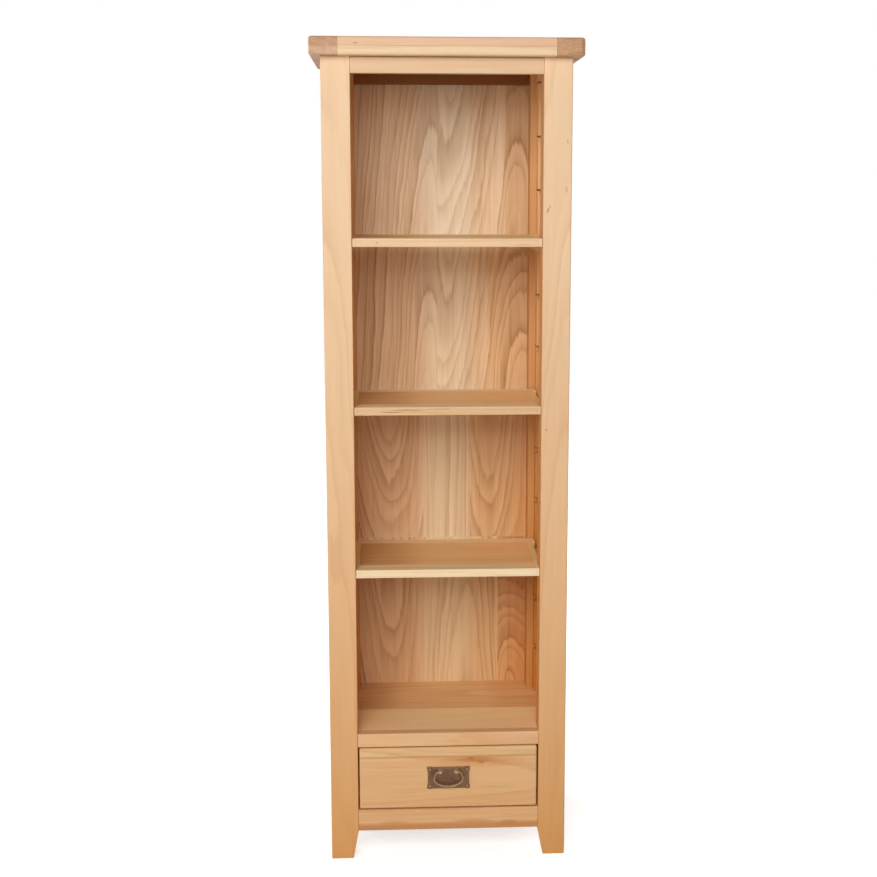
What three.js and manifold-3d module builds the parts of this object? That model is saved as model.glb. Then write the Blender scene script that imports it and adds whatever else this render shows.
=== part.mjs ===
// Tall, narrow oak bookcase with one drawer below.
// Millimetres, +Z up. The origin is on the floor at the middle of the whole outline,
// and the open front faces -Y.
// The case is a frame of four posts and mortised rails with panels in grooves. Notched
// battens stand in the four inner corners, loose rests lie in their notches, and each
// shelf lies on a pair of rests, so it can be lifted off and set at another height.

import * as THREE from "three";
import { mergeVertices } from "three/addons/utils/BufferGeometryUtils.js";
import Module from "manifold-3d";

const wasm = await Module();
wasm.setup();

// Case
const caseHeight = 1800;
const caseWidth = 526;
const caseDepth = 362;

// Joints: the glue line between fixed faces, the play of a tenon or tongue, and cut overrun
const seam = 0.3;
const fit = 0.3;
const overrun = 2;
const weldDistance = 0.0001;

// Top: a board between two end blocks, thickened in front and behind by strips
const topThickness = 38;
const topBoardThickness = 19;
const topSideOverhang = 23;
const topFrontOverhang = 23;
const topRearOverhang = 3;
const topEndWidth = 60;
const topStripWidth = 60;
const topCornerRadius = 11;
const topEdgeRadius = 5;
const topTongueLength = 10;
const topTongueThickness = 6;
const topTongueStop = 40;

// Posts and their feet
const frontPostWidth = 61;
const rearPostWidth = 61;
const postDepth = 61;
const postOuterRadius = 3;
const postInnerRadius = 1;
const footHeight = 65;
const footTaper = 12;

// Rails
const frontRailThickness = 24;
const topRailHeight = 34;
const floorRailHeight = 31;
const bottomRailHeight = 49;
const rearRailThickness = 22;
const rearTopRailHeight = 34;
const rearBottomRailHeight = 50;
const sideRailThickness = 22;
const sideRailInset = 3;
const sideTopRailHeight = 50;
const sideBottomRailHeight = 50;
const railEdgeRadius = 1.5;
const tenonLength = 20;
const tenonThickness = 8;
const tenonShoulder = 6;

// Panels
const sidePanelThickness = 12;
const sideTongueThickness = 6;
const sideTongueLength = 8;
const backPanelThickness = 6;
const backPanelLap = 8;
const backPanelInset = 4;

// Battens and the loose rests that lie in their notches
const battenWidth = 21;
const battenDepth = 32;
const notchHeight = 12;
const notchWidth = 14;
const notchDepth = 14;
const notchPitch = 120;
const lowestNotchAboveFloor = 117;
const notchFreeTop = 100;
const restWidth = 36;
const restEdgeRadius = 2;
const restPlay = 0.7;

// Shelves, one at every third notch
const shelfThickness = 18;
const shelfInset = 2;
const shelfRearPlay = 15;
const shelfPostPlay = 1;
const shelfBattenPlay = 2;
const shelfSideGap = 30;
const shelfFrontEdgeWidth = 46;
const shelfRearEdgeWidth = 32;
const shelfEndEdgeWidth = 13;
const shelfTongueLength = 6;
const shelfTongueThickness = 6;
const shelfEdgeRadius = 1.5;
const notchesPerShelf = 3;

// Fixed floor of the lowest compartment
const floorThickness = 18;
const floorFrontPlank = 158;
const floorHousing = 4;

// Drawer
const drawerOpeningHeight = 148;
const drawerGap = 3;
const drawerFrontThickness = 20;
const drawerFrontRadius = 3.5;
const drawerCornerRadius = 4;
const drawerSideThickness = 12;
const drawerSideHeight = 134;
const drawerBackThickness = 12;
const drawerBottomThickness = 6;
const drawerBottomRise = 12;
const drawerBottomGroove = 5;
const dovetailLap = 5;
const dovetailFlare = 2.5;
const frontTailCount = 3;
const rearTailCount = 2;
const tailShare = 0.62;

// Drawer runners
const runnerWidth = 14;
const runnerThickness = 18;
const guideHeight = 26;
const guidePlay = 0.7;

// Handle
const plateWidth = 96;
const plateHeight = 52;
const plateThickness = 2.2;
const plateBevel = 0.8;
const plateRimWidth = 4;
const plateRimHeight = 0.7;
const earLength = 12;
const earStep = 1.6;
const rivetRadius = 2.2;
const rivetHeight = 1.5;
const rivetEdgeDistance = 6.5;
const pivotSpacing = 36;
const pivotRise = 15.5;
const pivotStandOff = 8;
const pivotBallRadius = 4.8;
const pivotStemRadius = 3;
const pivotFlangeRadius = 5.6;
const pivotFlangeHeight = 1.2;
const pivotSides = 24;
const bailWidth = 63;
const bailDrop = 33;
const bailShoulderDrop = 15;
const bailPinRadius = 1.8;
const bailPinPlay = 0.05;
const bailPinInside = 3;
const bailMiddleRadius = 2.8;
const bailSides = 20;

// Levels and planes that follow. Inside the case frame y = 0 is the front of the posts.
const topUnderside = caseHeight - topThickness;
const frameTop = topUnderside - seam;
const topWidth = caseWidth + 2 * topSideOverhang;
const topDepth = caseDepth + topFrontOverhang + topRearOverhang;
const frontOfCase = -topDepth / 2 + topFrontOverhang;
const outerFace = caseWidth / 2;
const openingHalf = outerFace - frontPostWidth;
const rearOpeningHalf = outerFace - rearPostWidth;
const rearPostFront = caseDepth - postDepth;
const shelfDepth = rearPostFront - shelfRearPlay - shelfInset;
const sideOuterFace = outerFace - sideRailInset;
const sideInnerFace = sideOuterFace - sideRailThickness;
const backPanelFront = caseDepth - backPanelInset - backPanelThickness;
const bottomRailTop = footHeight + bottomRailHeight;
const floorUnderRail = bottomRailTop + drawerOpeningHeight;
const floorTop = floorUnderRail + floorRailHeight;
const battenInnerFace = sideInnerFace - battenWidth;
const frontBattenBack = postDepth + battenDepth;
const rearBattenFront = rearPostFront - battenDepth;
const lowestNotchTop = floorTop + lowestNotchAboveFloor;
const notchCount = 1 + Math.floor((topUnderside - notchFreeTop - lowestNotchTop) / notchPitch);
const shelfCount = Math.floor(notchCount / notchesPerShelf);
const restThickness = notchHeight - 2 * fit;

// Finishes, one family of oak and one of old brass
const oak = (color, roughness = 0.55) => new THREE.MeshStandardMaterial({ color, roughness, metalness: 0 });
const postOak = oak(0xe2b88c);
const railOak = oak(0xe0b78a);
const topOak = oak(0xe6c096);
const endGrainOak = oak(0xc79a78, 0.65);
const panelOak = oak(0xb98a5e);
const battenOak = oak(0xc88a52);
const shelfOak = oak(0xc08a58);
const lippingOak = oak(0xecd0a4);
const floorOak = oak(0xc4915e);
const drawerOak = oak(0xddb080);
const linerOak = oak(0xd8bc92, 0.7);
const antiqueBrass = new THREE.MeshStandardMaterial({ color: 0x6f5540, roughness: 0.42, metalness: 0.85 });

// Turns a closed geometry into a solid for cutting and joining.
function solidOf(geometry) {
  const bare = geometry.index ? geometry.toNonIndexed() : geometry.clone();
  bare.deleteAttribute("normal");
  bare.deleteAttribute("uv");
  const merged = mergeVertices(bare, weldDistance);
  const mesh = new wasm.Mesh({
    numProp: 3,
    vertProperties: merged.attributes.position.array,
    triVerts: new Uint32Array(merged.index.array),
  });
  return new wasm.Manifold(mesh);
}

// Turns a solid back into a geometry with flat faces.
function geometryOf(solid) {
  const mesh = solid.getMesh();
  const geometry = new THREE.BufferGeometry();
  geometry.setAttribute("position", new THREE.BufferAttribute(mesh.vertProperties, 3));
  geometry.setIndex(new THREE.BufferAttribute(mesh.triVerts, 1));
  const flat = geometry.toNonIndexed();
  flat.computeVertexNormals();
  return flat;
}

// A block between two planes on each axis, given as ranges.
function block({ x, y, z }) {
  const geometry = new THREE.BoxGeometry(x[1] - x[0], y[1] - y[0], z[1] - z[0]);
  geometry.translate((x[0] + x[1]) / 2, (y[0] + y[1]) / 2, (z[0] + z[1]) / 2);
  return solidOf(geometry);
}

// Ranges grown by the same play on every side.
function grown({ x, y, z }, play) {
  const wider = ([low, high]) => [low - play, high + play];
  return { x: wider(x), y: wider(y), z: wider(z) };
}

const cut = (body, ...tools) => tools.reduce((rest, tool) => rest.subtract(tool), body);
const join = (body, ...others) => others.reduce((sum, other) => sum.add(other), body);

// The plane in which an outline is drawn, for each direction of extrusion.
const outlinePlanes = {
  x: new THREE.Matrix4().makeBasis(
    new THREE.Vector3(0, 1, 0), new THREE.Vector3(0, 0, 1), new THREE.Vector3(1, 0, 0)),
  y: new THREE.Matrix4().makeBasis(
    new THREE.Vector3(1, 0, 0), new THREE.Vector3(0, 0, 1), new THREE.Vector3(0, -1, 0)),
  z: new THREE.Matrix4(),
};

// Extrudes an outline along x (drawn in y, z), along y (drawn in x, z) or along z (drawn in x, y).
function extrude(outline, axis, [from, to], bevel = 0) {
  const geometry = new THREE.ExtrudeGeometry(outline, {
    depth: to - from - 2 * bevel,
    curveSegments: 5,
    bevelEnabled: bevel > 0,
    bevelThickness: bevel,
    bevelSize: bevel,
    bevelOffset: -bevel,
    bevelSegments: 4,
  });
  geometry.applyMatrix4(outlinePlanes[axis]);
  if (axis === "x") geometry.translate(from + bevel, 0, 0);
  if (axis === "y") geometry.translate(0, to - bevel, 0);
  if (axis === "z") geometry.translate(0, 0, from + bevel);
  return solidOf(geometry);
}

// A rectangle whose corners are rounded, in the order low-low, high-low, high-high, low-high.
function roundedRectangle([u0, u1], [v0, v1], [ll, hl, hh, lh]) {
  const quarter = Math.PI / 2;
  const outline = new THREE.Shape();
  outline.moveTo(u0 + ll, v0);
  outline.lineTo(u1 - hl, v0);
  if (hl > 0) outline.absarc(u1 - hl, v0 + hl, hl, -quarter, 0);
  outline.lineTo(u1, v1 - hh);
  if (hh > 0) outline.absarc(u1 - hh, v1 - hh, hh, 0, quarter);
  outline.lineTo(u0 + lh, v1);
  if (lh > 0) outline.absarc(u0 + lh, v1 - lh, lh, quarter, 2 * quarter);
  outline.lineTo(u0, v0 + ll);
  if (ll > 0) outline.absarc(u0 + ll, v0 + ll, ll, 2 * quarter, 3 * quarter);
  return outline;
}

// An outline through corner points.
function polygon(points) {
  return new THREE.Shape(points.map(([u, v]) => new THREE.Vector2(u, v)));
}

// Adds a named piece to a group.
function addPiece(group, name, solid, material, position = [0, 0, 0]) {
  const mesh = new THREE.Mesh(geometryOf(solid), material);
  mesh.name = name;
  mesh.position.set(...position);
  group.add(mesh);
  return mesh;
}

// Top

// The whole top as one blank with rounded corners and eased edges; each piece is a part of it.
function topBlank() {
  const corners = [topCornerRadius, topCornerRadius, topCornerRadius, topCornerRadius];
  const outline = roundedRectangle(
    [-topWidth / 2, topWidth / 2], [-topFrontOverhang, caseDepth + topRearOverhang], corners);
  return extrude(outline, "z", [topUnderside, caseHeight], topEdgeRadius);
}

function topTongue(side) {
  const middle = caseHeight - topBoardThickness / 2;
  const root = topWidth / 2 - topEndWidth;
  const reach = [root - overrun, root + topTongueLength];
  return {
    x: side > 0 ? reach : [-reach[1], -reach[0]],
    y: [-topFrontOverhang + topTongueStop, caseDepth + topRearOverhang - topTongueStop],
    z: [middle - topTongueThickness / 2, middle + topTongueThickness / 2],
  };
}

function makeTop(group) {
  const blank = topBlank();
  const innerHalf = topWidth / 2 - topEndWidth;
  const acrossDepth = [-topFrontOverhang - overrun, caseDepth + topRearOverhang + overrun];
  const boardUnderside = caseHeight - topBoardThickness;
  const board = blank.intersect(block({
    x: [-innerHalf, innerHalf], y: acrossDepth, z: [boardUnderside, caseHeight + overrun],
  }));
  addPiece(group, "top_board", join(board, block(topTongue(-1)), block(topTongue(1))), topOak);

  for (const side of [-1, 1]) {
    const reach = [innerHalf + seam, topWidth / 2 + overrun];
    const end = blank.intersect(block({
      x: side > 0 ? reach : [-reach[1], -reach[0]],
      y: acrossDepth,
      z: [topUnderside - overrun, caseHeight + overrun],
    }));
    const name = side > 0 ? "top_end_right" : "top_end_left";
    addPiece(group, name, cut(end, block(grown(topTongue(side), fit))), endGrainOak);
  }

  const stripLevels = [topUnderside - overrun, boardUnderside - seam];
  const frontStrip = [-topFrontOverhang - overrun, -topFrontOverhang + topStripWidth];
  const rearEdge = caseDepth + topRearOverhang;
  const rearStrip = [rearEdge - topStripWidth, rearEdge + overrun];
  for (const [name, y] of [["top_front_strip", frontStrip], ["top_rear_strip", rearStrip]]) {
    const strip = blank.intersect(block({ x: [-innerHalf, innerHalf], y, z: stripLevels }));
    addPiece(group, name, strip, topOak);
  }
}

// Rails: each is a bar with a tenon at either end. Rails between the left and right posts
// run along x; rails between the front and rear posts run along y, on either side.

const frontRails = {
  front_top_rail: [frameTop - topRailHeight, frameTop],
  floor_rail: [floorUnderRail, floorTop],
  bottom_rail: [footHeight, bottomRailTop],
};
const rearRails = {
  rear_top_rail: [frameTop - rearTopRailHeight, frameTop],
  rear_bottom_rail: [footHeight, footHeight + rearBottomRailHeight],
};
const sideRails = {
  side_top_rail: [frameTop - sideTopRailHeight, frameTop],
  side_bottom_rail: [footHeight, footHeight + sideBottomRailHeight],
};
const shouldered = ([low, high]) => [low + tenonShoulder, high - tenonShoulder];
const centred = (low, thickness, width) => {
  const start = low + (thickness - width) / 2;
  return [start, start + width];
};

// The tenon on the right-hand end of a rail between left and right posts.
function crossTenon(levels, opening, railFront, railThickness) {
  return {
    x: [opening - seam - overrun, opening + tenonLength],
    y: centred(railFront, railThickness, tenonThickness),
    z: shouldered(levels),
  };
}
const frontTenon = (levels) => crossTenon(levels, openingHalf, 0, frontRailThickness);
const rearRailFront = backPanelFront - seam - rearRailThickness;
const rearTenon = (levels) => crossTenon(levels, rearOpeningHalf, rearRailFront, rearRailThickness);

// The tenons on the two ends of a side rail.
function sideTenons(levels) {
  const x = centred(sideInnerFace, sideRailThickness, tenonThickness);
  const z = shouldered(levels);
  return {
    front: { x, y: [postDepth - tenonLength, postDepth + seam + overrun], z },
    rear: { x, y: [rearPostFront - seam - overrun, rearPostFront + tenonLength], z },
  };
}

const mirrored = ({ x, y, z }) => ({ x: [-x[1], -x[0]], y, z });

function makeCrossRails(group) {
  for (const [name, levels] of Object.entries(frontRails)) {
    const rounds = [railEdgeRadius, 0, 0, railEdgeRadius];
    const outline = roundedRectangle([0, frontRailThickness], levels, rounds);
    const bar = extrude(outline, "x", [-openingHalf + seam, openingHalf - seam]);
    const tenon = frontTenon(levels);
    addPiece(group, name, join(bar, block(tenon), block(mirrored(tenon))), railOak);
  }
  for (const [name, levels] of Object.entries(rearRails)) {
    const bar = block({
      x: [-rearOpeningHalf + seam, rearOpeningHalf - seam],
      y: [rearRailFront, rearRailFront + rearRailThickness],
      z: levels,
    });
    const tenon = rearTenon(levels);
    addPiece(group, name, join(bar, block(tenon), block(mirrored(tenon))), railOak);
  }
}

// Sides: everything here is drawn for the right-hand side, and the left is its mirror image.

const sidePanelTongue = {
  x: [sideInnerFace + sidePanelThickness - sideTongueThickness, sideInnerFace + sidePanelThickness],
  y: [postDepth - sideTongueLength, rearPostFront + sideTongueLength],
  z: [sideRails.side_bottom_rail[1] - sideTongueLength, sideRails.side_top_rail[0] + sideTongueLength],
};

// A wedge that takes the taper off one inner face of a foot, drawn across that face.
function footWedge(face, inward) {
  const outside = face - inward * overrun;
  const slope = footTaper / footHeight;
  return polygon([
    [outside, footHeight],
    [face, footHeight],
    [face + inward * (footTaper + slope * overrun), -overrun],
    [outside, -overrun],
  ]);
}

function makeFrontPost() {
  const rounds = [postInnerRadius, postOuterRadius, postInnerRadius, postInnerRadius];
  const outline = roundedRectangle([openingHalf, outerFace], [0, postDepth], rounds);
  const post = extrude(outline, "z", [0, frameTop]);
  const mortises = Object.values(frontRails).map((levels) => block(grown(frontTenon(levels), fit)));
  const sideMortises = Object.values(sideRails).map((levels) => block(grown(sideTenons(levels).front, fit)));
  return cut(
    post,
    extrude(footWedge(openingHalf, 1), "y", [-overrun, postDepth + overrun]),
    extrude(footWedge(postDepth, -1), "x", [openingHalf - overrun, outerFace + overrun]),
    block(grown(sidePanelTongue, fit)),
    ...mortises,
    ...sideMortises,
  );
}

function makeRearPost() {
  const rounds = [postInnerRadius, postInnerRadius, postOuterRadius, postInnerRadius];
  const outline = roundedRectangle([rearOpeningHalf, outerFace], [rearPostFront, caseDepth], rounds);
  const post = extrude(outline, "z", [0, frameTop]);
  const rebate = block({
    x: [rearOpeningHalf - overrun, rearOpeningHalf + backPanelLap + seam],
    y: [backPanelFront, caseDepth + overrun],
    z: [footHeight, frameTop + overrun],
  });
  const mortises = Object.values(rearRails).map((levels) => block(grown(rearTenon(levels), fit)));
  const sideMortises = Object.values(sideRails).map((levels) => block(grown(sideTenons(levels).rear, fit)));
  return cut(
    post,
    extrude(footWedge(rearOpeningHalf, 1), "y", [rearPostFront - overrun, caseDepth + overrun]),
    extrude(footWedge(rearPostFront, 1), "x", [rearOpeningHalf - overrun, outerFace + overrun]),
    rebate,
    block(grown(sidePanelTongue, fit)),
    ...mortises,
    ...sideMortises,
  );
}

function makeSideRail(levels) {
  const rounds = [0, railEdgeRadius, railEdgeRadius, 0];
  const outline = roundedRectangle([sideInnerFace, sideOuterFace], levels, rounds);
  const bar = extrude(outline, "y", [postDepth + seam, rearPostFront - seam]);
  const tenons = sideTenons(levels);
  return cut(join(bar, block(tenons.front), block(tenons.rear)), block(grown(sidePanelTongue, fit)));
}

function makeSidePanel() {
  const face = block({
    x: [sideInnerFace, sideInnerFace + sidePanelThickness],
    y: [postDepth + seam, rearPostFront - seam],
    z: [sideRails.side_bottom_rail[1] + seam, sideRails.side_top_rail[0] - seam],
  });
  const housing = block({
    x: [sideInnerFace - overrun, sideInnerFace + floorHousing],
    y: [postDepth - overrun, rearPostFront + overrun],
    z: [floorTop - floorThickness - fit, floorTop + fit],
  });
  return cut(join(face, block(sidePanelTongue)), housing);
}

// A batten with a column of notches, open to the inside and towards the other batten.
function makeBatten(y, notchY) {
  const batten = block({ x: [battenInnerFace, sideInnerFace - seam], y, z: [floorTop + seam, frameTop] });
  const notches = [];
  for (let i = 0; i < notchCount; i++) {
    const top = lowestNotchTop + i * notchPitch;
    notches.push(block({
      x: [battenInnerFace - overrun, battenInnerFace + notchWidth], y: notchY, z: [top - notchHeight, top],
    }));
  }
  return cut(batten, ...notches);
}
const makeFrontBatten = () => makeBatten(
  [postDepth + seam, frontBattenBack], [frontBattenBack - notchDepth, frontBattenBack + overrun]);
const makeRearBatten = () => makeBatten(
  [rearBattenFront, rearPostFront - seam], [rearBattenFront - overrun, rearBattenFront + notchDepth]);

// A runner under the drawer side with a guide beside it, fixed between the posts.
const drawerHalf = openingHalf - drawerGap;
function makeRunner() {
  const underSide = {
    x: [drawerHalf - runnerWidth, openingHalf - seam],
    y: [frontRailThickness + seam, rearPostFront - seam],
    z: [bottomRailTop - runnerThickness, bottomRailTop],
  };
  const shelfOfRunner = {
    x: [openingHalf - overrun, sideInnerFace - seam],
    y: [postDepth + seam, rearPostFront - seam],
    z: [bottomRailTop - runnerThickness, bottomRailTop],
  };
  const guide = {
    x: [drawerHalf + guidePlay, sideInnerFace - seam],
    y: [postDepth + seam, rearPostFront - seam],
    z: [bottomRailTop - overrun, bottomRailTop + guideHeight],
  };
  return join(block(underSide), block(shelfOfRunner), block(guide));
}

function makeSides(group) {
  for (const side of [-1, 1]) {
    const hand = side > 0 ? "right" : "left";
    const half = new THREE.Group();
    half.scale.x = side;
    group.add(half);
    addPiece(half, `front_post_${hand}`, makeFrontPost(), postOak);
    addPiece(half, `rear_post_${hand}`, makeRearPost(), postOak);
    addPiece(half, `side_panel_${hand}`, makeSidePanel(), panelOak);
    addPiece(half, `front_batten_${hand}`, makeFrontBatten(), battenOak);
    addPiece(half, `rear_batten_${hand}`, makeRearBatten(), battenOak);
    addPiece(half, `drawer_runner_${hand}`, makeRunner(), linerOak);
    for (const [name, levels] of Object.entries(sideRails)) {
      addPiece(half, `${name}_${hand}`, makeSideRail(levels), railOak);
    }
  }
}

// Back panel, laid into the rebates of the rear posts behind the rear rails
function makeBackPanel(group) {
  const panel = block({
    x: [-rearOpeningHalf - backPanelLap, rearOpeningHalf + backPanelLap],
    y: [backPanelFront, backPanelFront + backPanelThickness],
    z: [footHeight + seam, frameTop],
  });
  addPiece(group, "back_panel", panel, panelOak);
}

// Floor: two planks housed in the side panels and cut round the posts
function makeFloor(group) {
  const wide = sideInnerFace + floorHousing - fit;
  const levels = [floorTop - floorThickness, floorTop];
  const frontNarrow = openingHalf - seam;
  const frontStart = frontRailThickness + seam;
  const frontStep = postDepth + seam;
  const frontPlank = polygon([
    [-frontNarrow, frontStart], [frontNarrow, frontStart],
    [frontNarrow, frontStep], [wide, frontStep],
    [wide, floorFrontPlank], [-wide, floorFrontPlank],
    [-wide, frontStep], [-frontNarrow, frontStep],
  ]);
  const rearNarrow = rearOpeningHalf - seam;
  const rearStep = rearPostFront - seam;
  const rearEnd = backPanelFront - seam;
  const rearPlank = polygon([
    [-wide, floorFrontPlank + seam], [wide, floorFrontPlank + seam],
    [wide, rearStep], [rearNarrow, rearStep],
    [rearNarrow, rearEnd], [-rearNarrow, rearEnd],
    [-rearNarrow, rearStep], [-wide, rearStep],
  ]);
  addPiece(group, "floor_plank_front", extrude(frontPlank, "z", levels), floorOak);
  addPiece(group, "floor_plank_rear", extrude(rearPlank, "z", levels), floorOak);
}

// Shelf rests: loose bars whose ends lie in the notches of the front and rear battens
function makeRest() {
  const rounds = [restEdgeRadius, 0, 0, restEdgeRadius];
  const outer = battenInnerFace + notchWidth - fit;
  const outline = roundedRectangle([outer - restWidth, outer], [0, restThickness], rounds);
  const length = [frontBattenBack - notchDepth + restPlay, rearBattenFront + notchDepth - restPlay];
  return extrude(outline, "y", length);
}

// Shelf: a panel with a tongue before and behind, and edge strips on all four sides. The
// end strips run from the front edge to the rear strip, which is longer and passes between
// the rear battens. y = 0 is the shelf's front edge and z = 0 its underside.
const shelfNarrowHalf = openingHalf - shelfPostPlay;
const shelfWideHalf = sideInnerFace - shelfSideGap;
const shelfRearHalf = battenInnerFace - shelfBattenPlay;
const shelfPanelHalf = shelfWideHalf - shelfEndEdgeWidth;
const shelfRearEdgeStart = shelfDepth - shelfRearEdgeWidth;

function shelfTongue() {
  return {
    x: [-shelfPanelHalf + seam, shelfPanelHalf - seam],
    y: [shelfFrontEdgeWidth - shelfTongueLength, shelfRearEdgeStart + shelfTongueLength],
    z: centred(0, shelfThickness, shelfTongueThickness),
  };
}

function makeShelfPanel() {
  const board = block({
    x: [-shelfPanelHalf + seam, shelfPanelHalf - seam],
    y: [shelfFrontEdgeWidth + seam, shelfRearEdgeStart - seam],
    z: [0, shelfThickness],
  });
  return join(board, block(shelfTongue()));
}

// A bar along x, as deep as asked for, whose front edges are eased.
function shelfBlank(depth, width) {
  const rounds = [shelfEdgeRadius, 0, 0, shelfEdgeRadius];
  return extrude(roundedRectangle([0, depth], [0, shelfThickness], rounds), "x", width);
}

function makeShelfFrontEdge() {
  const width = [-shelfPanelHalf + seam, shelfPanelHalf - seam];
  return cut(shelfBlank(shelfFrontEdgeWidth, width), block(grown(shelfTongue(), fit)));
}

function makeShelfRearEdge() {
  const strip = block({
    x: [-shelfRearHalf, shelfRearHalf], y: [shelfRearEdgeStart, shelfDepth], z: [0, shelfThickness],
  });
  return cut(strip, block(grown(shelfTongue(), fit)));
}

// The end strip steps in at the front, where the shelf passes between the posts.
function makeShelfEndEdge() {
  const step = postDepth - shelfInset + shelfPostPlay;
  const end = shelfRearEdgeStart - seam;
  const outline = polygon([
    [shelfPanelHalf, -overrun], [shelfNarrowHalf, -overrun],
    [shelfNarrowHalf, step], [shelfWideHalf, step],
    [shelfWideHalf, end], [shelfPanelHalf, end],
  ]);
  return shelfBlank(shelfDepth, [shelfPanelHalf, shelfWideHalf])
    .intersect(extrude(outline, "z", [-overrun, shelfThickness + overrun]));
}

function makeShelves(group) {
  for (let n = 1; n <= shelfCount; n++) {
    const underside = lowestNotchTop + (n * notchesPerShelf - 1) * notchPitch;
    const rests = new THREE.Group();
    rests.position.z = underside - notchHeight + fit;
    group.add(rests);
    const shelf = new THREE.Group();
    shelf.position.set(0, shelfInset, underside);
    group.add(shelf);
    addPiece(shelf, `shelf_${n}_panel`, makeShelfPanel(), shelfOak);
    addPiece(shelf, `shelf_${n}_front_edge`, makeShelfFrontEdge(), lippingOak);
    addPiece(shelf, `shelf_${n}_rear_edge`, makeShelfRearEdge(), lippingOak);
    for (const side of [-1, 1]) {
      const hand = side > 0 ? "right" : "left";
      const half = new THREE.Group();
      half.scale.x = side;
      shelf.add(half);
      addPiece(half, `shelf_${n}_end_edge_${hand}`, makeShelfEndEdge(), lippingOak);
      const restHalf = new THREE.Group();
      restHalf.scale.x = side;
      rests.add(restHalf);
      addPiece(restHalf, `shelf_${n}_rest_${hand}`, makeRest(), battenOak);
    }
  }
}

// Drawer: half-blind dovetails at the front corners, through dovetails at the back ones.
// y = 0 is the face of the drawer front and z = 0 the underside of its sides.
const drawerLength = rearPostFront - seam;
const drawerBackTop = drawerSideHeight;
const drawerBackBottom = drawerBottomRise + drawerBottomThickness + fit;
const drawerBackFront = drawerLength - drawerBackThickness;
const drawerFrontLow = drawerGap - seam;
const drawerFrontHeight = drawerOpeningHeight - 2 * drawerGap;
const drawerInnerHalf = drawerHalf - drawerSideThickness;

// The tails along one edge as trapezia in y, z: narrow at the root and flared at the tip.
function tailOutlines(root, tip, [low, high], count, play = 0) {
  const pitch = (high - low) / count;
  const rootHalf = (pitch * tailShare) / 2;
  const direction = Math.sign(tip - root);
  const flarePerLength = dovetailFlare / Math.abs(tip - root);
  const rootY = root - direction * overrun;
  const tipY = tip + direction * play;
  const rootReach = rootHalf - flarePerLength * overrun + play;
  const tipReach = rootHalf + dovetailFlare + flarePerLength * play + play;
  return Array.from({ length: count }, (_, i) => {
    const middle = low + (i + 1 / 2) * pitch;
    return polygon([
      [rootY, middle - rootReach], [rootY, middle + rootReach],
      [tipY, middle + tipReach], [tipY, middle - tipReach],
    ]);
  });
}
const frontTails = (play) => tailOutlines(
  drawerFrontThickness, dovetailLap, [0, drawerSideHeight], frontTailCount, play);
const rearTails = (play) => tailOutlines(
  drawerBackFront, drawerLength, [drawerBackBottom, drawerBackTop], rearTailCount, play);

// The drawer bottom slides in grooves in the sides and the front, under the back.
const drawerBottomPlate = {
  x: [-drawerInnerHalf - drawerBottomGroove + fit, drawerInnerHalf + drawerBottomGroove - fit],
  y: [drawerFrontThickness - drawerBottomGroove + fit, drawerLength - seam],
  z: [drawerBottomRise, drawerBottomRise + drawerBottomThickness],
};

function makeDrawerSide() {
  const thickness = [drawerInnerHalf, drawerHalf];
  const belowBack = drawerBackBottom - fit;
  const board = polygon([
    [drawerFrontThickness + seam, 0], [drawerLength, 0],
    [drawerLength, belowBack], [drawerBackFront - seam, belowBack],
    [drawerBackFront - seam, drawerSideHeight], [drawerFrontThickness + seam, drawerSideHeight],
  ]);
  const tails = [...frontTails(0), ...rearTails(0)].map((tail) => extrude(tail, "x", thickness));
  return cut(join(extrude(board, "x", thickness), ...tails), block(grown(drawerBottomPlate, fit)));
}

function makeDrawerFront() {
  const corners = Array(4).fill(drawerCornerRadius);
  const levels = [drawerFrontLow, drawerFrontLow + drawerFrontHeight];
  const outline = roundedRectangle([-drawerHalf, drawerHalf], levels, corners);
  const rounded = extrude(outline, "y", [0, drawerFrontThickness + 2 * drawerFrontRadius], drawerFrontRadius);
  const board = rounded.intersect(block({
    x: [-drawerHalf - overrun, drawerHalf + overrun],
    y: [-overrun, drawerFrontThickness],
    z: [levels[0] - overrun, levels[1] + overrun],
  }));
  const reach = [drawerInnerHalf - fit, drawerHalf + overrun];
  const sockets = frontTails(fit).flatMap((tail) => [
    extrude(tail, "x", reach),
    extrude(tail, "x", [-reach[1], -reach[0]]),
  ]);
  return cut(board, ...sockets, block(grown(drawerBottomPlate, fit)));
}

function makeDrawerBack() {
  const board = block({
    x: [-drawerHalf, drawerHalf],
    y: [drawerBackFront, drawerLength],
    z: [drawerBackBottom, drawerBackTop],
  });
  const reach = [drawerInnerHalf - fit, drawerHalf + overrun];
  const sockets = rearTails(fit).flatMap((tail) => [
    extrude(tail, "x", reach),
    extrude(tail, "x", [-reach[1], -reach[0]]),
  ]);
  return cut(board, ...sockets);
}

function makeDrawer(group) {
  const drawer = new THREE.Group();
  drawer.position.z = bottomRailTop + seam;
  group.add(drawer);
  addPiece(drawer, "drawer_front", makeDrawerFront(), drawerOak);
  addPiece(drawer, "drawer_back", makeDrawerBack(), linerOak);
  addPiece(drawer, "drawer_bottom", block(drawerBottomPlate), linerOak);
  for (const side of [-1, 1]) {
    const half = new THREE.Group();
    half.scale.x = side;
    drawer.add(half);
    addPiece(half, side > 0 ? "drawer_side_right" : "drawer_side_left", makeDrawerSide(), linerOak);
  }
  makeHandle(drawer);
}

// Handle: an eared plate, two ball-headed pivots and a bail that swings in them

// The sunk field of the plate lies behind the front of its rim
const fieldFront = -plateThickness + plateRimHeight;

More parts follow.
